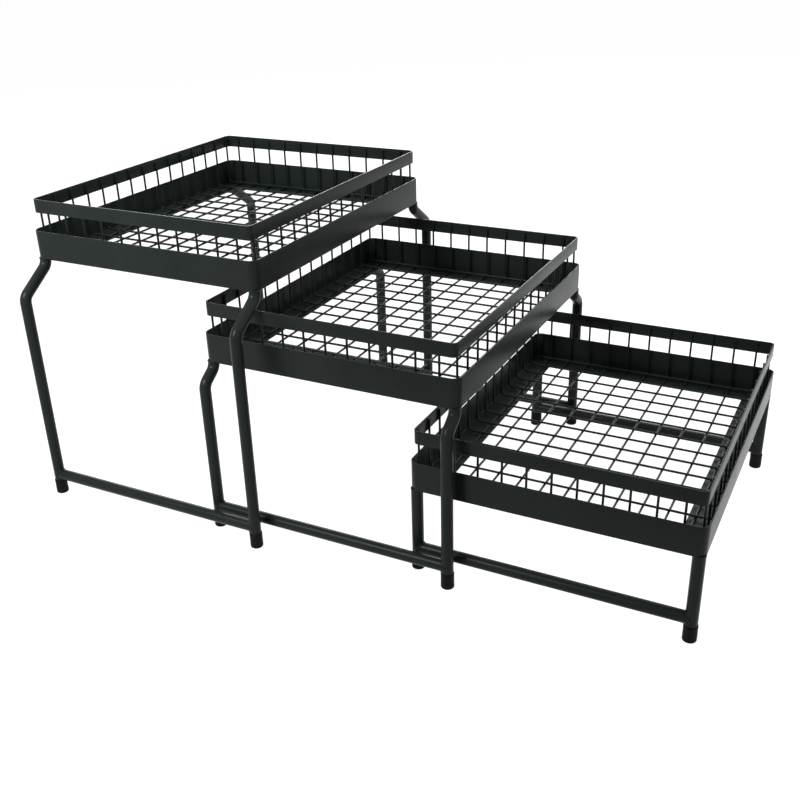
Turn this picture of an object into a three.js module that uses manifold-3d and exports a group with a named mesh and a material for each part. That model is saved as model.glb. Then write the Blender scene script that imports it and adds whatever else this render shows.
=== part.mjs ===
// Tiered display table: a nest of three wire-basket tables, drawn out into a stepped row.
// Millimetres, +Z up, +X down the row from the tall table to the low one, -Y to the front.
// The origin is on the floor, under the middle of the row.
import * as THREE from 'three';
import { mergeVertices } from 'three/addons/utils/BufferGeometryUtils.js';
import Module from 'manifold-3d';

const wasm = await Module();
wasm.setup();

// Height of the low table's top rail over the floor, and the clear height that each higher table
// has between its own tray and the top rail of the table that slides in under it
const smallHeight = 330;
const mediumGap = 67;
const largeGap = 42;

// How far each table stands drawn out from the next higher one, centre to centre
const mediumDraw = 448;
const smallDraw = 488;

// Tray, alike on all three tables: an angle frame with an upright band and a flange turned in
const trayWidth = 600;
const trayDepth = 760;
const trayCorner = 20;
const bandHeight = 66;
const bandThickness = 2.5;
const flangeWidth = 60;

// Top rail: a flat bar on edge, which goes down inside the band with room to spare
const railHeight = 30;
const railThickness = 3;
const railClearance = 5;
const railGap = 40;

// Wire basket
const wireSize = 5;
const wirePitch = 50.8;
const wireEdge = 12;
const wireTopDrop = 5;
const wireWeld = 0.6;

// Legs and stretchers: round tube. The stub over a crank is as long as the bend's lean needs
const tubeDiameter = 25.4;
const tubeWall = 1.6;
const tubeSides = 10;
const legInset = 0.3;
const stubLean = THREE.MathUtils.degToRad(9.06);
const crankAngle = THREE.MathUtils.degToRad(55);
const crankRadius = 25;
const crankSteps = 2;

// Feet: push-on ferrules
const footWall = 2;
const footHeight = 36;
const footSole = 5;
const footEdge = 3;
const footStretcherGap = 1.3;

// Fits: the seam left at a weld, the play round a tube, and the room between nested feet
const weldSeam = 0.3;
const tubePlay = 0.3;
const nestGap = 10;

// Worked out from the sizes above
const tubeRadius = tubeDiameter / 2;
const footRadius = tubeRadius + tubePlay + footWall;
const legStub = tubeRadius * Math.sin(stubLean);
const trayHeight = railHeight + railGap + bandHeight;
const mediumHeight = smallHeight + mediumGap + trayHeight;
const largeHeight = mediumHeight + largeGap + trayHeight;
const railWidth = trayWidth - 2 * (bandThickness + railClearance);
const railDepth = trayDepth - 2 * (bandThickness + railClearance);
const railCorner = trayCorner - bandThickness - railClearance;
const crankPerTier = 2 * footRadius + nestGap;
const stretcherHeight = footHeight + footStretcherGap + tubeRadius;
const legX = trayWidth / 2 - tubeRadius - legInset;
const legTopY = trayDepth / 2 - tubeRadius - legInset;

// Mesh limits: how close two corners are one, how sharp a bend inside a corner can be, and how many
// steps a rounded corner has
const sameCorner = 1e-4;
const sharpestBend = 1;
const cornerSteps = 2;

// A round hole or post with flat sides that clears a circle of this radius needs a larger one
const aroundCircle = (radius, sides) => radius / Math.cos(Math.PI / sides);

// Finishes: every piece has its own material
const blackPaint = () => new THREE.MeshStandardMaterial({ color: 0x1c1e20, roughness: 0.42, metalness: 0.3 });
const blackRubber = () => new THREE.MeshStandardMaterial({ color: 0x101113, roughness: 0.75, metalness: 0 });

// Joining and cutting closed meshes
function solidOf(geometry) {
  const bare = geometry.clone();
  bare.deleteAttribute('normal');
  bare.deleteAttribute('uv');
  const merged = mergeVertices(bare, sameCorner);
  return new wasm.Manifold(new wasm.Mesh({
    numProp: 3,
    vertProperties: new Float32Array(merged.attributes.position.array),
    triVerts: new Uint32Array(merged.index.array),
  }));
}

function geometryOf(solid) {
  const mesh = solid.getMesh();
  const geometry = new THREE.BufferGeometry();
  geometry.setAttribute('position', new THREE.BufferAttribute(mesh.vertProperties, 3));
  geometry.setIndex(new THREE.BufferAttribute(mesh.triVerts, 1));
  geometry.computeVertexNormals();
  return geometry;
}

const joined = (geometries) => geometryOf(geometries.map(solidOf).reduce((whole, solid) => whole.add(solid)));

// A rectangle with round corners, centred on the origin, drawn into a shape or a hole's path
function roundedRectangle(outline, width, depth, radius) {
  const x = width / 2 - radius;
  const y = depth / 2 - radius;
  outline.moveTo(width / 2, -y);
  outline.lineTo(width / 2, y);
  outline.absarc(x, y, radius, 0, Math.PI / 2);
  outline.lineTo(-x, depth / 2);
  outline.absarc(-x, y, radius, Math.PI / 2, Math.PI);
  outline.lineTo(-width / 2, -y);
  outline.absarc(-x, -y, radius, Math.PI, Math.PI * 1.5);
  outline.lineTo(x, -depth / 2);
  outline.absarc(x, -y, radius, Math.PI * 1.5, Math.PI * 2);
  return outline;
}

// A closed hoop of flat bar: its outer size, the bar's thickness in plan and its height
function hoop(width, depth, radius, thickness, height, bottom) {
  const innerWidth = width - 2 * thickness;
  const innerDepth = depth - 2 * thickness;
  const innerRadius = Math.max(radius - thickness, sharpestBend);
  const shape = roundedRectangle(new THREE.Shape(), width, depth, radius);
  shape.holes.push(roundedRectangle(new THREE.Path(), innerWidth, innerDepth, innerRadius));
  const settings = { depth: height, bevelEnabled: false, curveSegments: cornerSteps };
  const geometry = new THREE.ExtrudeGeometry(shape, settings);
  return geometry.translate(0, 0, bottom);
}

const topRail = (railBottom) => hoop(railWidth, railDepth, railCorner, railThickness, railHeight, railBottom);

const trayBand = (bandBottom) => joined([
  hoop(trayWidth, trayDepth, trayCorner, bandThickness, bandHeight, bandBottom),
  hoop(trayWidth, trayDepth, trayCorner, flangeWidth, bandThickness, bandBottom),
]);

// One square wire bent up at both ends, in the plane of its length and height, centred on its width
function bentWire(length, bottom, top) {
  const half = length / 2;
  const shape = new THREE.Shape([
    [-half, top],
    [-half, bottom],
    [half, bottom],
    [half, top],
    [half - wireSize, top],
    [half - wireSize, bottom + wireSize],
    [wireSize - half, bottom + wireSize],
    [wireSize - half, top],
  ].map(([x, z]) => new THREE.Vector2(x, z)));
  const wire = new THREE.ExtrudeGeometry(shape, { depth: wireSize, bevelEnabled: false });
  return wire.translate(0, 0, -wireSize / 2).rotateX(Math.PI / 2);
}

// Places of the wires across an inside width: evenly spaced about the middle
function wirePlaces(insideWidth) {
  const perSide = Math.floor((insideWidth / 2 - wireEdge) / wirePitch);
  return Array.from({ length: 2 * perSide + 1 }, (_, i) => (i - perSide) * wirePitch);
}

// The basket: front-to-back wires on the flange, and wires along the row welded on top of them
function wireBasket(flangeTop, railTop) {
  const insideWidth = railWidth - 2 * railThickness;
  const insideDepth = railDepth - 2 * railThickness;
  const lower = flangeTop + weldSeam;
  const upper = lower + wireSize - wireWeld;
  const top = railTop - wireTopDrop;
  const wires = [];
  for (const x of wirePlaces(insideWidth)) {
    const wire = bentWire(insideDepth - 2 * weldSeam, lower, top);
    wires.push(wire.rotateZ(Math.PI / 2).translate(x, 0, 0));
  }
  for (const y of wirePlaces(insideDepth)) {
    wires.push(bentWire(insideWidth - 2 * weldSeam, upper, top).translate(0, y, 0));
  }
  return joined(wires);
}

// A line through chosen points, stepped from point to point
class LegLine extends THREE.Curve {
  constructor(points) {
    super();
    this.points = points;
  }

  getPoint(t, target = new THREE.Vector3()) {
    const place = t * (this.points.length - 1);
    const start = Math.min(Math.floor(place), this.points.length - 2);
    return target.lerpVectors(this.points[start], this.points[start + 1], place - start);
  }

  getPointAt(u, target) {
    return this.getPoint(u, target);
  }

  getTangentAt(u, target) {
    return this.getTangent(u, target);
  }
}

// The tube's section: a ring
function tubeSection() {
  const section = new THREE.Shape().absarc(0, 0, tubeRadius, 0, Math.PI * 2);
  section.holes.push(new THREE.Path().absarc(0, 0, tubeRadius - tubeWall, 0, Math.PI * 2));
  return section;
}

function tubeAlong(points) {
  return new THREE.ExtrudeGeometry(tubeSection(), {
    steps: points.length - 1,
    extrudePath: new LegLine(points),
    curveSegments: tubeSides / 2,
  });
}

// The middle line of a leg, from the flange down to the foot. The crank is two equal bends with a
// straight between them, and it shrinks to the two bends alone when the offset is small.
function legPoints(top, bottom, crank) {
  const angle = Math.min(crankAngle, Math.acos(1 - crank / (2 * crankRadius)));
  const straight = crank > 0 ? (crank - 2 * crankRadius * (1 - Math.cos(angle))) / Math.sin(angle) : 0;
  const drop = 2 * crankRadius * Math.sin(angle) + straight * Math.cos(angle);
  const crankTop = top - legStub;
  const points = [new THREE.Vector3(0, 0, top)];
  const bend = (step) => {
    const turned = angle * step / crankSteps;
    return [crankRadius * (1 - Math.cos(turned)), crankRadius * Math.sin(turned)];
  };
  if (crank > 0) {
    for (let step = 0; step <= crankSteps; step += 1) {
      const [out, down] = bend(step);
      points.push(new THREE.Vector3(0, out, crankTop - down));
    }
    const firstBack = straight > 0 ? crankSteps : crankSteps - 1;
    for (let step = firstBack; step >= 0; step -= 1) {
      const [out, down] = bend(step);
      points.push(new THREE.Vector3(0, crank - out, crankTop - drop + down));
    }
  }
  points.push(new THREE.Vector3(0, crank, bottom));
  return points;
}

// A stretcher's ends are coped to the legs that they are welded to
function stretcher() {
  const ends = [new THREE.Vector3(-legX, 0, stretcherHeight), new THREE.Vector3(legX, 0, stretcherHeight)];
  const copeSides = 2 * tubeSides;
  const copeLength = 4 * tubeDiameter;
  const copeRadius = aroundCircle(tubeRadius + weldSeam, copeSides);
  let tube = solidOf(tubeAlong(ends));
  for (const end of ends) {
    const leg = new THREE.CylinderGeometry(copeRadius, copeRadius, copeLength, copeSides);
    leg.rotateX(Math.PI / 2).translate(end.x, end.y, end.z);
    tube = tube.subtract(solidOf(leg));
  }
  return geometryOf(tube);
}

// A push-on foot: a cup with a rounded lower edge, standing on the floor
function foot() {
  const bore = aroundCircle(tubeRadius + tubePlay, tubeSides);
  const edgeStep = footEdge * (1 - Math.SQRT1_2);
  const profile = [
    [0, 0],
    [footRadius - footEdge, 0],
    [footRadius - edgeStep, edgeStep],
    [footRadius, footEdge],
    [footRadius, footHeight],
    [bore, footHeight],
    [bore, footSole],
    [0, footSole],
  ].map(([radius, height]) => new THREE.Vector2(radius, height));
  return new THREE.LatheGeometry(profile, tubeSides).rotateX(Math.PI / 2);
}

function named(name, geometry, material) {
  const mesh = new THREE.Mesh(geometry, material);
  mesh.name = name;
  return mesh;
}

// One table: its tray, then its legs, stretchers and feet, front and back, left and right
function table(name, height, tier) {
  const group = new THREE.Group();
  const crank = tier * crankPerTier;
  const railBottom = height - railHeight;
  const bandBottom = height - trayHeight;
  const legLine = legPoints(bandBottom - weldSeam, footSole + weldSeam, crank);
  group.add(named(`${name}_top_rail`, topRail(railBottom), blackPaint()));
  group.add(named(`${name}_wire_basket`, wireBasket(bandBottom + bandThickness, height), blackPaint()));
  group.add(named(`${name}_tray_band`, trayBand(bandBottom), blackPaint()));

  for (const [face, outward] of [['front', -1], ['back', 1]]) {
    const legBottomY = outward * (legTopY + crank);
    const rail = named(`${name}_stretcher_${face}`, stretcher(), blackPaint());
    rail.position.y = legBottomY;
    group.add(rail);
    for (const [hand, side] of [['left', -1], ['right', 1]]) {
      const line = legLine.map((point) => new THREE.Vector3(0, outward * point.y, point.z));
      const leg = named(`${name}_leg_${face}_${hand}`, tubeAlong(line), blackPaint());
      leg.position.set(side * legX, outward * legTopY, 0);
      const ferrule = named(`${name}_foot_${face}_${hand}`, foot(), blackRubber());
      ferrule.position.set(side * legX, legBottomY, 0);
      group.add(leg, ferrule);
    }
  }
  return group;
}

// The row: each table is drawn out from the one before, and the row's middle is at the origin
const row = new THREE.Group();
const large = table('large', largeHeight, 2);
const medium = table('medium', mediumHeight, 1);
const small = table('small', smallHeight, 0);
large.position.x = -(mediumDraw + smallDraw) / 2;
medium.position.x = large.position.x + mediumDraw;
small.position.x = medium.position.x + smallDraw;
row.add(large, medium, small);

export default row;
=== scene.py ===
"""Tiered display table: a nest of three black wire-basket tables, on a pale studio floor.

Metres, +Z up, +X down the row from the tall table to the low one, -Y to the front.
Every piece takes its place from the frame, and is a finer copy of the node that it stands for.
"""
import math

import bmesh
import bpy
from mathutils import Matrix, Vector


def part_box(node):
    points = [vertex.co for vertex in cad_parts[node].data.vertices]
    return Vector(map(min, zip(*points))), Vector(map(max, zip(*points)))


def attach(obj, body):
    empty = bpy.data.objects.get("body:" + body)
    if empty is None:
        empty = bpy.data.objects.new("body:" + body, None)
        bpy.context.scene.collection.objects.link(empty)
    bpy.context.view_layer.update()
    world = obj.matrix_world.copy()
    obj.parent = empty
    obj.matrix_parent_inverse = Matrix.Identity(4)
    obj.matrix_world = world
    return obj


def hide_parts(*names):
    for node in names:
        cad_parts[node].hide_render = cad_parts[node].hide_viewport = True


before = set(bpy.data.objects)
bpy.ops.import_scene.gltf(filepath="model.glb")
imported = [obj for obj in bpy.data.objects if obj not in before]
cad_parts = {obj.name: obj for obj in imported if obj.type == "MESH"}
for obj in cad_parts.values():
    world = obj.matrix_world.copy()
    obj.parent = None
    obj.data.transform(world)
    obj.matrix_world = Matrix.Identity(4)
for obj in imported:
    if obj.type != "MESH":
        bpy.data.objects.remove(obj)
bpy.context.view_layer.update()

MM = 0.001
TINY = 0.001 * MM
TABLES = ("large", "medium", "small")
FACES = (("front", -1), ("back", 1))
HANDS = (("left", -1), ("right", 1))

# Flat bar and sheet
RAIL_THICKNESS = 3 * MM
RAIL_CORNER = 12.5 * MM
RAIL_EDGE = 0.5 * MM
BAND_THICKNESS = 2.5 * MM
BAND_CORNER = 20 * MM
BAND_EDGE = 0.5 * MM
BAND_FOLD = 4 * MM
FLANGE_WIDTH = 60 * MM
CORNER_STEPS = 10
EDGE_STEPS = 3
FOLD_STEPS = 5
SHARP_ANGLE = 40

# Wire
WIRE_RADIUS = 2.5 * MM
WIRE_PITCH = 50.8 * MM
WIRE_WELD = 0.6 * MM
WIRE_BEND = 8 * MM
WIRE_BEND_STEPS = 6
WIRE_SIDES = 12
CROSS_WIRES = 11
ROW_WIRES = 15

# Tube
TUBE_RADIUS = 12.7 * MM
SADDLE_RADIUS = 12.68 * MM
TUBE_SIDES = 40
CRANK_ANGLE = math.radians(55)
CRANK_RADIUS = 25 * MM
CRANK_STEPS = 12
LEAST_CRANK = 0.1 * MM
LEG_STUB = 2 * MM
LEG_BITE = 1.5 * MM
# The least cosine of half a bend that a tube is widened for
LEAST_MITRE = 0.5
# The cosine past which a path counts as running along X
ALONG_X = 0.9

# Feet: a hollow in the sole, a slight taper, a collar and a rounded lip
FOOT_RADIUS = 14.2 * MM
FOOT_EDGE = 3 * MM
FOOT_EDGE_STEPS = 6
FOOT_HOLLOW = 0.8 * MM
FOOT_HOLLOW_RADIUS = 0.6 * FOOT_RADIUS
FOOT_TREAD_RADIUS = 0.64 * FOOT_RADIUS
FOOT_TAPER = 0.25 * MM
FOOT_COLLAR = 4.4 * MM
FOOT_COLLAR_STEP = 0.6 * MM
FOOT_LIP = 0.9 * MM
FOOT_LIP_STEPS = 4
FOOT_LIP_DIP = 0.2 * MM
FOOT_PLAY = 0.05 * MM
FOOT_SOLE = 5 * MM
FOOT_SIDES = 48

# Weld beads
SADDLE_BEAD = 2.0 * MM
COLLAR_BEAD = 1.6 * MM
COLLAR_RADIUS = 11.8 * MM
COLLAR_RISE = 0.9 * MM
MITRE_BEAD = 1.0 * MM
MITRE_INSET = 0.5 * BAND_CORNER
MITRE_GROUND = 0.6 * MM
TACK_BEAD = 1.3 * MM
TACK_LENGTH = 16 * MM
TACK_STEPS = 6
TACK_SPREAD = 0.9 * WIRE_RADIUS
TACK_GAP = 0.2 * MM
BEAD_RIPPLE = 0.13
BEAD_RIPPLE_PITCH = 3.2 * MM
BEAD_STEP = BEAD_RIPPLE_PITCH / 4
# The share of a bead's radius that is left at its ends
BEAD_END = 0.35
BEAD_SIDES = 8
BEAD_TURN = 72
BEAD_SHARP_ANGLE = 60

# Where most of a noise lies
NOISE_SPAN = (0.3, 0.7)

# Powder coat: ends of its colour and roughness, scales of its noises, strength and depth of its bumps
FRAME_DARK = (0.0100, 0.0142, 0.0134)
FRAME_LIGHT = (0.0150, 0.0196, 0.0188)
FRAME_ROUGHNESS = (0.27, 0.36)
FRAME_PEEL = 520
WIRE_DARK = (0.0090, 0.0126, 0.0120)
WIRE_LIGHT = (0.0130, 0.0170, 0.0164)
WIRE_ROUGHNESS = (0.26, 0.36)
WIRE_PEEL = 760
COAT_SPECULAR = 0.10
COAT_CLOUDS = 9
COAT_SPECKLE = 700
COAT_SPECKLE_ROUGHNESS = (-0.03, 0.03)
COAT_FLOW = 45
COAT_FLOW_BUMP = (0.02, 0.6 * MM)
COAT_PEEL_BUMP = (0.018, 0.25 * MM)

# Vinyl of the feet
VINYL_DARK = (0.005, 0.005, 0.006)
VINYL_LIGHT = (0.012, 0.012, 0.013)
VINYL_ROUGHNESS = (0.52, 0.74)
VINYL_SPECULAR = 0.05
VINYL_SCUFFS = 120
VINYL_SCUFF_ROUGHNESS = 0.65
VINYL_GRAIN = 1400
VINYL_GRAIN_BUMP = (0.2, 0.15 * MM)

# Studio: floor, surround and softboxes
FLOOR_SIZE = 60
FLOOR_DROP = 0.4 * MM
FLOOR_GREY = 0.86
FLOOR_ROUGHNESS = 0.9
FLOOR_SPECULAR = 0.1
FLOOR_GLOW = 1.36
FLOOR_GLOW_SHARE = 0.68
SURROUND_LIGHT = 0.20
SURROUND_SEEN = 1
# Name, place, point aimed at, width and height, watts, and how wide the beam spreads in degrees
SOFTBOXES = (
    ("overhead", (-0.4, 1.2, 3.4), (-0.4, 0.9, 0), (2.4, 2.4), 22, 180),
    ("left_front", (-0.95, -2.0, 2.1), (-0.62, -0.2, 0.5), (1.0, 1.0), 12, 64),
    ("right_back", (1.2, 3.6, 2.6), (1.0, 2.8, 0), (2.2, 2.2), 44, 180),
    ("right_side", (1.9, 1.4, 2.2), (1.5, 1.4, 0), (1.6, 2.4), 60, 180),
    ("rim", (-2.9, 5.0, 2.0), (-0.5, 0, 0.5), (4.6, 1.2), 140, 180),
)

# Camera, fitted to the photograph
CAMERA_PLACE = Vector((0.9848, -1.9755, 1.2684))
CAMERA_HEADING = math.radians(117.507)
CAMERA_PITCH = math.radians(25.849)
CAMERA_ROLL = math.radians(1.640)
CAMERA_FOCAL_PIXELS = 1011.4
PHOTO_PIXELS = 800
SENSOR_WIDTH_MM = 36


# Shader helpers
def new_material(name):
    material = bpy.data.materials.new(name)
    material.use_nodes = True
    tree = material.node_tree
    return material, tree.nodes, tree.links, tree.nodes["Principled BSDF"]


def noise(nodes, links, coords, scale, detail=2.0, roughness=0.5):
    texture = nodes.new("ShaderNodeTexNoise")
    texture.inputs["Scale"].default_value = scale
    texture.inputs["Detail"].default_value = detail
    texture.inputs["Roughness"].default_value = roughness
    links.new(coords.outputs["Object"], texture.inputs["Vector"])
    return texture.outputs["Fac"]


def mapped(nodes, links, value, ends, span=NOISE_SPAN):
    """Maps a value that lies in a span, such as a noise, onto the span between two ends."""
    node = nodes.new("ShaderNodeMapRange")
    node.inputs["From Min"].default_value = span[0]
    node.inputs["From Max"].default_value = span[1]
    node.inputs["To Min"].default_value = ends[0]
    node.inputs["To Max"].default_value = ends[1]
    links.new(value, node.inputs["Value"])
    return node.outputs["Result"]


def bump(nodes, links, height, strength, distance, under=None):
    node = nodes.new("ShaderNodeBump")
    node.inputs["Strength"].default_value = strength
    node.inputs["Distance"].default_value = distance
    links.new(height, node.inputs["Height"])
    if under is not None:
        links.new(under, node.inputs["Normal"])
    return node.outputs["Normal"]


def mixed_colour(nodes, links, factor, first, second):
    node = nodes.new("ShaderNodeMix")
    node.data_type = "RGBA"
    node.inputs["A"].default_value = (*first, 1)
    node.inputs["B"].default_value = (*second, 1)
    links.new(factor, node.inputs["Factor"])
    return node.outputs["Result"]


def powder_coat(name, dark, light, roughness, peel_scale):
    """Satin black powder coat: slightly uneven colour and gloss over a fine orange peel."""
    material, nodes, links, shader = new_material(name)
    coords = nodes.new("ShaderNodeTexCoord")
    clouds = noise(nodes, links, coords, COAT_CLOUDS, detail=4)
    speckle = noise(nodes, links, coords, COAT_SPECKLE, detail=3)
    peel = noise(nodes, links, coords, peel_scale, detail=2)
    flow = noise(nodes, links, coords, COAT_FLOW, detail=1)
    colour = mixed_colour(nodes, links, mapped(nodes, links, clouds, (0, 1)), dark, light)
    links.new(colour, shader.inputs["Base Color"])
    gloss = nodes.new("ShaderNodeMath")
    gloss.operation = "ADD"
    links.new(mapped(nodes, links, clouds, roughness), gloss.inputs[0])
    links.new(mapped(nodes, links, speckle, COAT_SPECKLE_ROUGHNESS), gloss.inputs[1])
    links.new(gloss.outputs["Value"], shader.inputs["Roughness"])
    shader.inputs["Specular IOR Level"].default_value = COAT_SPECULAR
    wavy = bump(nodes, links, flow, *COAT_FLOW_BUMP)
    peeled = bump(nodes, links, peel, *COAT_PEEL_BUMP, under=wavy)
    links.new(peeled, shader.inputs["Normal"])
    return material


def vinyl(name):
    """Matt black vinyl, scuffed a little lighter in patches."""
    material, nodes, links, shader = new_material(name)
    coords = nodes.new("ShaderNodeTexCoord")
    scuffs = noise(nodes, links, coords, VINYL_SCUFFS, detail=5, roughness=VINYL_SCUFF_ROUGHNESS)
    grain = noise(nodes, links, coords, VINYL_GRAIN, detail=2)
    patches = mapped(nodes, links, scuffs, (0, 1))
    colour = mixed_colour(nodes, links, patches, VINYL_DARK, VINYL_LIGHT)
    links.new(colour, shader.inputs["Base Color"])
    links.new(mapped(nodes, links, scuffs, VINYL_ROUGHNESS), shader.inputs["Roughness"])
    links.new(bump(nodes, links, grain, *VINYL_GRAIN_BUMP), shader.inputs["Normal"])
    shader.inputs["Specular IOR Level"].default_value = VINYL_SPECULAR
    return material


FINISHES = {
    "frame_paint": powder_coat("frame_paint", FRAME_DARK, FRAME_LIGHT, FRAME_ROUGHNESS, FRAME_PEEL),
    "wire_paint": powder_coat("wire_paint", WIRE_DARK, WIRE_LIGHT, WIRE_ROUGHNESS, WIRE_PEEL),
    "foot_rubber": vinyl("foot_rubber"),
}


# Mesh helpers
class Skin:
    """Points and faces of one piece, gathered from one or more closed forms."""

    def __init__(self):
        self.points = []
        self.faces = []

    def rings(self, rings, closed=False):
        """Joins rings of equal length into a tube: capped at both ends, or closed on itself."""
        first = len(self.points)
        size = len(rings[0])
        for ring in rings:
            self.points.extend(Vector(point) for point in ring)
        count = len(rings)
        for i in range(count if closed else count - 1):
            here = first + i * size
            after = first + ((i + 1) % count) * size
            for j in range(size):
                k = (j + 1) % size
                self.faces.append((here + j, here + k, after + k, after + j))
        if not closed:
            last = first + (count - 1) * size
            self.faces.append(tuple(reversed(range(first, first + size))))
            self.faces.append(tuple(range(last, last + size)))

    def piece(self, name, table, slot, *nodes, sharp=SHARP_ANGLE):
        """Makes the object, rides it on its table and gives it its finish."""
        mesh = bpy.data.meshes.new(name)
        form = bmesh.new()
        corners = [form.verts.new(point) for point in self.points]
        for face in self.faces:
            form.faces.new([corners[i] for i in face])
        bmesh.ops.remove_doubles(form, verts=form.verts, dist=TINY)
        bmesh.ops.recalc_face_normals(form, faces=form.faces)
        form.to_mesh(mesh)
        form.free()
        mesh.shade_smooth()
        mesh.set_sharp_from_angle(angle=math.radians(sharp))
        mesh.materials.append(FINISHES[slot])
        obj = bpy.data.objects.new(name, mesh)
        bpy.context.scene.collection.objects.link(obj)
        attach(obj, f"{table}_table")
        if nodes:
            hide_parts(*nodes)


def box(node):
    """The low and the high corner of a node."""
    return tuple(Vector(corner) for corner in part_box(node))


def circle(x, y, z, radius, sides):
    """Points of a level circle."""
    points = []
    for j in range(sides):
        angle = 2 * math.pi * j / sides
        points.append((x + radius * math.cos(angle), y + radius * math.sin(angle), z))
    return points


def circle_rings(path, radius, sides, closed=False):
    """Circles square to a path. radius is a number, or a function of the place along the path."""
    path = [Vector(point) for point in path]
    count = len(path)
    rings = []
    normal = None
    for i, point in enumerate(path):
        before = path[i - 1] if i > 0 or closed else None
        after = path[(i + 1) % count] if i < count - 1 or closed else None
        into = (point - before).normalized() if before is not None else None
        out = (after - point).normalized() if after is not None else into
        into = into or out
        along = (into + out).normalized()
        if normal is None:
            guide = Vector((1, 0, 0)) if abs(along.x) < ALONG_X else Vector((0, 1, 0))
            normal = along.cross(guide).normalized()
        normal = (normal - along * normal.dot(along)).normalized()
        side = along.cross(normal)
        size = radius(i) if callable(radius) else radius
        # A mitre keeps the tube's width through a bend
        stretch = 1 / max(math.sqrt((1 + into.dot(out)) / 2), LEAST_MITRE)
        bend = out - into
        bend = bend.normalized() if bend.length > TINY else None
        ring = []
        for j in range(sides):
            angle = 2 * math.pi * j / sides
            spoke = (normal * math.cos(angle) + side * math.sin(angle)) * size
            if bend is not None:
                across = bend - along * bend.dot(along)
                across.normalize()
                spoke += across * spoke.dot(across) * (stretch - 1)
            ring.append(point + spoke)
        rings.append(ring)
    return rings


def arc(centre, radius, start, end, steps):
    """Points of an arc in a plane, both ends included, as (across, up) pairs."""
    points = []
    for i in range(steps + 1):
        angle = start + (end - start) * i / steps
        points.append((centre[0] + radius * math.cos(angle), centre[1] + radius * math.sin(angle)))
    return points


def rounded_profile(corners, steps=EDGE_STEPS):
    """A closed outline from (across, up, radius) corners, each rounded by its radius."""
    outline = []
    count = len(corners)
    for i, (x, z, radius) in enumerate(corners):
        here = Vector((x, z))
        to_before = (Vector(corners[i - 1][:2]) - here).normalized()
        to_after = (Vector(corners[(i + 1) % count][:2]) - here).normalized()
        half = to_before.angle(to_after) / 2
        reach = radius / math.tan(half)
        middle = here + (to_before + to_after).normalized() * radius / math.sin(half)
        start = here + to_before * reach - middle
        end = here + to_after * reach - middle
        turn = start.angle_signed(end)
        for step in range(steps + 1):
            spoke = start.copy()
            spoke.rotate(Matrix.Rotation(-turn * step / steps, 2))
            outline.append(tuple(middle + spoke))
    return outline


def hoop_rings(profile, low, high, corner):
    """Sweeps a profile of (inset, height) points round a rectangle with rounded corners."""
    rings = []
    middle = (low + high) / 2
    half_x = (high.x - low.x) / 2
    half_y = (high.y - low.y) / 2
    for quarter in range(4):
        sign_x = (1, -1, -1, 1)[quarter]
        sign_y = (1, 1, -1, -1)[quarter]
        for step in range(CORNER_STEPS + 1):
            angle = math.pi / 2 * (quarter + step / CORNER_STEPS)
            ring = []
            for inset, height in profile:
                radius = max(corner - inset, 0)
                x = sign_x * (half_x - inset - radius) + radius * math.cos(angle)
                y = sign_y * (half_y - inset - radius) + radius * math.sin(angle)
                ring.append((middle.x + x, middle.y + y, height))
            rings.append(ring)
    return rings


# Pieces of one table
def top_rail(table):
    node = f"{table}_top_rail"
    low, high = box(node)
    profile = rounded_profile([
        (0, low.z, RAIL_EDGE),
        (0, high.z, RAIL_EDGE),
        (RAIL_THICKNESS, high.z, RAIL_EDGE),
        (RAIL_THICKNESS, low.z, RAIL_EDGE),
    ])
    skin = Skin()
    skin.rings(hoop_rings(profile, low, high, RAIL_CORNER), closed=True)
    skin.piece(f"{table}_rail", table, "frame_paint", node)


def tray_band(table):
    node = f"{table}_tray_band"
    low, high = box(node)
    profile = rounded_profile([
        (0, low.z, BAND_FOLD),
        (0, high.z, BAND_EDGE),
        (BAND_THICKNESS, high.z, BAND_EDGE),
        (BAND_THICKNESS, low.z + BAND_THICKNESS, BAND_FOLD - BAND_THICKNESS),
        (FLANGE_WIDTH, low.z + BAND_THICKNESS, BAND_EDGE),
        (FLANGE_WIDTH, low.z, BAND_EDGE),
    ], steps=FOLD_STEPS)
    skin = Skin()
    skin.rings(hoop_rings(profile, low, high, BAND_CORNER), closed=True)
    skin.piece(f"{table}_band", table, "frame_paint", node)


def bent_wire(start, end, floor, top):
    """The middle line of a wire from one upright across the floor to the other, as (along, up)."""
    quarter = math.pi / 2
    first = arc((start + WIRE_BEND, floor + WIRE_BEND), WIRE_BEND, math.pi, 3 * quarter, WIRE_BEND_STEPS)
    second = arc((end - WIRE_BEND, floor + WIRE_BEND), WIRE_BEND, -quarter, 0, WIRE_BEND_STEPS)
    return [(start, top), *first, *second, (end, top)]


def wire_places(middle, count):
    """Where wires at the mesh pitch lie, to both sides of a middle."""
    return [middle + (i - (count - 1) / 2) * WIRE_PITCH for i in range(count)]


def wire_basket(table):
    node = f"{table}_wire_basket"
    low, high = box(node)
    middle = (low + high) / 2
    lower = low.z + WIRE_RADIUS
    upper = lower + 2 * WIRE_RADIUS - WIRE_WELD
    skin = Skin()
    across = bent_wire(low.y + WIRE_RADIUS, high.y - WIRE_RADIUS, lower, high.z)
    for x in wire_places(middle.x, CROSS_WIRES):
        skin.rings(circle_rings([(x, y, z) for y, z in across], WIRE_RADIUS, WIRE_SIDES))
    along = bent_wire(low.x + WIRE_RADIUS, high.x - WIRE_RADIUS, upper, high.z)
    for y in wire_places(middle.y, ROW_WIRES):
        skin.rings(circle_rings([(x, y, z) for x, z in along], WIRE_RADIUS, WIRE_SIDES))
    skin.piece(f"{table}_basket", table, "wire_paint", node)


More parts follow.
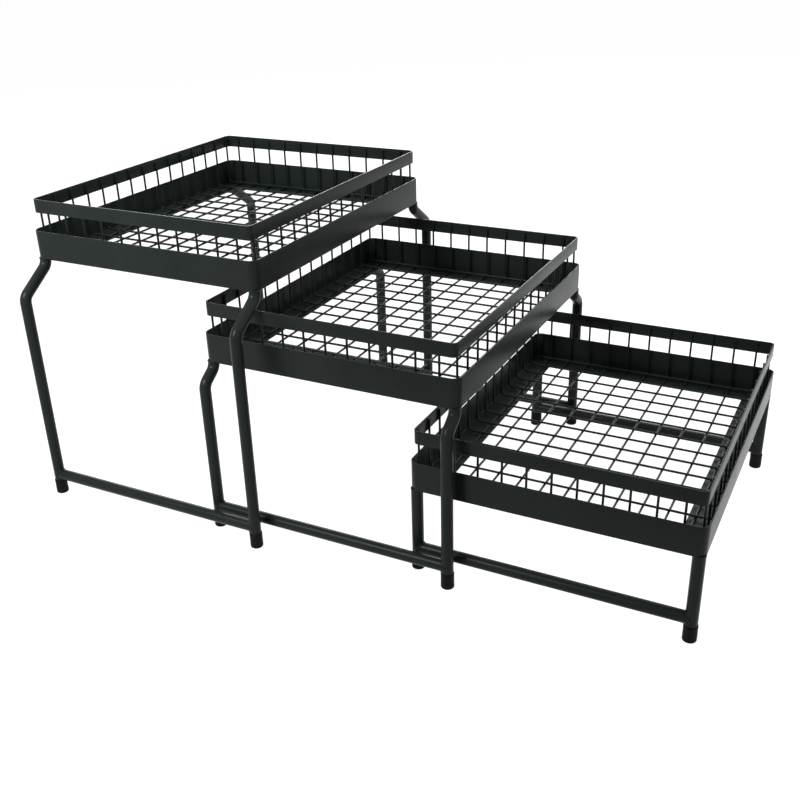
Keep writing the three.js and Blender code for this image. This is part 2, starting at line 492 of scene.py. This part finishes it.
def leg_line(top, bottom, crank):
    """The middle line of a leg, from the flange down, as (outward, height) pairs."""
    line = [(0, top)]
    top -= LEG_BITE
    if crank > LEAST_CRANK:
        straight = (crank - 2 * CRANK_RADIUS * (1 - math.cos(CRANK_ANGLE))) / math.sin(CRANK_ANGLE)
        drop = 2 * CRANK_RADIUS * math.sin(CRANK_ANGLE) + straight * math.cos(CRANK_ANGLE)
        knee = top - LEG_STUB
        line += arc((CRANK_RADIUS, knee), CRANK_RADIUS, math.pi, math.pi + CRANK_ANGLE, CRANK_STEPS)
        line += arc((crank - CRANK_RADIUS, knee - drop), CRANK_RADIUS, CRANK_ANGLE, 0, CRANK_STEPS)
    line.append((crank, bottom))
    return line


def legs(table):
    for face, outward in FACES:
        for hand, _ in HANDS:
            node = f"{table}_leg_{face}_{hand}"
            low, high = box(node)
            crank = high.y - low.y - 2 * TUBE_RADIUS
            inner_y = low.y if outward > 0 else high.y
            start_y = inner_y + outward * TUBE_RADIUS
            x = (low.x + high.x) / 2
            side_view = leg_line(high.z + LEG_BITE, low.z, crank)
            line = [(x, start_y + outward * out, z) for out, z in side_view]
            skin = Skin()
            skin.rings(circle_rings(line, TUBE_RADIUS, TUBE_SIDES))
            skin.piece(f"{table}_tube_{face}_{hand}", table, "frame_paint", node)


def leg_foot(table, face, hand):
    """Where a leg's axis meets the floor."""
    low, high = box(f"{table}_foot_{face}_{hand}")
    return (low.x + high.x) / 2, (low.y + high.y) / 2


def leg_top(table, face, hand):
    """Where a leg's axis meets the tray, front to back."""
    low, high = box(f"{table}_leg_{face}_{hand}")
    return high.y - TUBE_RADIUS if face == "front" else low.y + TUBE_RADIUS


def saddle(x, y, z, inward):
    """The closed curve where a stretcher meets a leg's wall."""
    points = []
    for j in range(BEAD_TURN):
        angle = 2 * math.pi * j / BEAD_TURN
        across = SADDLE_RADIUS * math.cos(angle)
        reach = math.sqrt(TUBE_RADIUS ** 2 - across ** 2)
        points.append(Vector((x + inward * reach, y + across, z + SADDLE_RADIUS * math.sin(angle))))
    return points


def stretchers(table):
    for face, _ in FACES:
        node = f"{table}_stretcher_{face}"
        low, high = box(node)
        z = (low.z + high.z) / 2
        ends = []
        for hand, side in HANDS:
            x, y = leg_foot(table, face, hand)
            ends.append(saddle(x, y, z, -side))
        skin = Skin()
        skin.rings(ends)
        skin.piece(f"{table}_cross_tube_{face}", table, "frame_paint", node)


def feet(table):
    for face, _ in FACES:
        for hand, _ in HANDS:
            node = f"{table}_foot_{face}_{hand}"
            low, high = box(node)
            middle = (low + high) / 2
            bore = TUBE_RADIUS + FOOT_PLAY
            collar = high.z - FOOT_COLLAR
            edge_centre = (FOOT_RADIUS - FOOT_EDGE, low.z + FOOT_EDGE)
            lip_centre = (FOOT_RADIUS - FOOT_LIP, high.z - FOOT_LIP)
            profile = [
                (FOOT_HOLLOW_RADIUS, low.z + FOOT_HOLLOW),
                (FOOT_TREAD_RADIUS, low.z),
                *arc(edge_centre, FOOT_EDGE, -math.pi / 2, 0, FOOT_EDGE_STEPS),
                (FOOT_RADIUS - FOOT_TAPER, collar - FOOT_COLLAR_STEP),
                (FOOT_RADIUS, collar),
                *arc(lip_centre, FOOT_LIP, 0, math.pi / 2, FOOT_LIP_STEPS),
                (bore, high.z - FOOT_LIP_DIP),
                (bore, low.z + FOOT_SOLE),
            ]
            rings = [circle(middle.x, middle.y, height, radius, FOOT_SIDES) for radius, height in profile]
            skin = Skin()
            skin.rings(rings)
            skin.piece(f"{table}_ferrule_{face}_{hand}", table, "foot_rubber", node)


def bead(skin, path, radius, closed=False):
    """A weld bead along a path, with the ripple of its passes and, when open, tapered ends."""
    path = [Vector(point) for point in path]
    count = len(path)
    length = sum((path[i] - path[i - 1]).length for i in range(0 if closed else 1, count))
    ripples = max(round(length / BEAD_RIPPLE_PITCH), 1)

    def size(i):
        ripple = 1 + BEAD_RIPPLE * math.sin(2 * math.pi * ripples * i / count)
        if closed:
            return radius * ripple
        from_end = min(i, count - 1 - i) * length / (count - 1)
        return radius * ripple * min(BEAD_END + from_end / (2 * radius), 1)

    skin.rings(circle_rings(path, size, BEAD_SIDES, closed=closed), closed=closed)


def between(start, end, step):
    """Points from start to end, about a step apart."""
    start = Vector(start)
    end = Vector(end)
    count = max(round((end - start).length / step), 2)
    return [start.lerp(end, i / count) for i in range(count + 1)]


def tube_welds(skin, table, tray_bottom):
    """A collar round the top of each leg and a saddle at each end of the stretchers."""
    for face, _ in FACES:
        low, high = box(f"{table}_stretcher_{face}")
        for hand, side in HANDS:
            x, y = leg_foot(table, face, hand)
            bead(skin, saddle(x, y, (low.z + high.z) / 2, -side), SADDLE_BEAD, closed=True)
            y = leg_top(table, face, hand)
            collar = circle(x, y, tray_bottom + COLLAR_RISE, COLLAR_RADIUS, BEAD_TURN)
            bead(skin, collar, COLLAR_BEAD, closed=True)


def mitre_welds(skin, low, high):
    """The flange's four mitres, ground low on top and left as beads underneath."""
    ground = Vector((0, 0, BAND_THICKNESS - MITRE_GROUND))
    for _, front in FACES:
        for _, side in HANDS:
            corner = Vector((low.x if side < 0 else high.x, low.y if front < 0 else high.y, low.z))
            inward = Vector((-side, -front, 0))
            outer = corner + inward * MITRE_INSET
            inner = corner + inward * FLANGE_WIDTH
            bead(skin, between(outer, inner, BEAD_STEP), MITRE_BEAD)
            bead(skin, between(outer + ground, inner + ground, BEAD_STEP), MITRE_BEAD)


def rail_tacks(skin, table):
    """Two short beads that hold each upright to the inside of the rail."""
    low, high = box(f"{table}_top_rail")
    middle = (low + high) / 2
    top = middle.z + TACK_LENGTH / 2
    inset = RAIL_THICKNESS + TACK_GAP
    starts = []
    for x in wire_places(middle.x, CROSS_WIRES):
        for y in (low.y + inset, high.y - inset):
            starts += [Vector((x + edge, y, top)) for edge in (-TACK_SPREAD, TACK_SPREAD)]
    for y in wire_places(middle.y, ROW_WIRES):
        for x in (low.x + inset, high.x - inset):
            starts += [Vector((x, y + edge, top)) for edge in (-TACK_SPREAD, TACK_SPREAD)]
    down = Vector((0, 0, -TACK_LENGTH))
    for start in starts:
        bead(skin, between(start, start + down, TACK_LENGTH / TACK_STEPS), TACK_BEAD)


def welds(table):
    low, high = box(f"{table}_tray_band")
    skin = Skin()
    tube_welds(skin, table, low.z)
    mitre_welds(skin, low, high)
    rail_tacks(skin, table)
    skin.piece(f"{table}_welds", table, "frame_paint", sharp=BEAD_SHARP_ANGLE)


for table in TABLES:
    top_rail(table)
    tray_band(table)
    wire_basket(table)
    legs(table)
    stretchers(table)
    feet(table)
    welds(table)


# Studio: a pale floor, a white surround and soft light
def looked_at(nodes, links):
    """1 for rays that show a thing, straight on, in a mirror or through glass, and 0 for its light."""
    path = nodes.new("ShaderNodeLightPath")
    seen = path.outputs["Is Camera Ray"]
    for ray in ("Is Glossy Ray", "Is Transmission Ray"):
        either = nodes.new("ShaderNodeMath")
        either.operation = "MAXIMUM"
        links.new(seen, either.inputs[0])
        links.new(path.outputs[ray], either.inputs[1])
        seen = either.outputs["Value"]
    return seen


def pale_floor():
    """A floor that shows white, and still takes a faint shadow."""
    bpy.ops.mesh.primitive_plane_add(size=FLOOR_SIZE, location=(0, 0, -FLOOR_DROP))
    floor = bpy.context.object
    floor.name = "floor"
    material, nodes, links, shader = new_material("floor")
    shader.inputs["Base Color"].default_value = (FLOOR_GREY, FLOOR_GREY, FLOOR_GREY, 1)
    shader.inputs["Roughness"].default_value = FLOOR_ROUGHNESS
    shader.inputs["Specular IOR Level"].default_value = FLOOR_SPECULAR
    white = nodes.new("ShaderNodeEmission")
    white.inputs["Strength"].default_value = FLOOR_GLOW
    mix = nodes.new("ShaderNodeMixShader")
    seen = looked_at(nodes, links)
    share = mapped(nodes, links, seen, (0, FLOOR_GLOW_SHARE), span=(0, 1))
    links.new(share, mix.inputs["Fac"])
    links.new(shader.outputs["BSDF"], mix.inputs[1])
    links.new(white.outputs["Emission"], mix.inputs[2])
    links.new(mix.outputs["Shader"], nodes["Material Output"].inputs["Surface"])
    floor.data.materials.append(material)


def white_surround():
    """A world that shows white, and lights the tables softly."""
    world = bpy.data.worlds.new("surround")
    bpy.context.scene.world = world
    world.use_nodes = True
    nodes = world.node_tree.nodes
    links = world.node_tree.links
    background = nodes["Background"]
    background.inputs["Color"].default_value = (1, 1, 1, 1)
    seen = looked_at(nodes, links)
    strength = mapped(nodes, links, seen, (SURROUND_LIGHT, SURROUND_SEEN), span=(0, 1))
    links.new(strength, background.inputs["Strength"])


def softbox(name, place, target, size, power, beam):
    lamp = bpy.data.lights.new(name, "AREA")
    lamp.shape = "RECTANGLE"
    lamp.size, lamp.size_y = size
    lamp.energy = power
    lamp.spread = math.radians(beam)
    obj = bpy.data.objects.new(name, lamp)
    obj.location = place
    obj.rotation_euler = (Vector(target) - Vector(place)).to_track_quat("-Z", "Y").to_euler()
    bpy.context.scene.collection.objects.link(obj)


def camera():
    heading = Vector((math.cos(CAMERA_HEADING), math.sin(CAMERA_HEADING), 0))
    forward = heading * math.cos(CAMERA_PITCH) + Vector((0, 0, -math.sin(CAMERA_PITCH)))
    level = Vector((math.sin(CAMERA_HEADING), -math.cos(CAMERA_HEADING), 0))
    down = forward.cross(level)
    right = level * math.cos(CAMERA_ROLL) + down * math.sin(CAMERA_ROLL)
    up = level * math.sin(CAMERA_ROLL) - down * math.cos(CAMERA_ROLL)
    data = bpy.data.cameras.new("camera")
    data.sensor_width = SENSOR_WIDTH_MM
    data.lens = CAMERA_FOCAL_PIXELS / PHOTO_PIXELS * SENSOR_WIDTH_MM
    obj = bpy.data.objects.new("camera", data)
    turn = Matrix((right, up, -forward)).transposed()
    obj.matrix_world = Matrix.Translation(CAMERA_PLACE) @ turn.to_4x4()
    bpy.context.scene.collection.objects.link(obj)
    bpy.context.scene.camera = obj


bpy.context.scene.view_settings.view_transform = "Standard"
pale_floor()
white_surround()
for row in SOFTBOXES:
    softbox(*row)
camera()
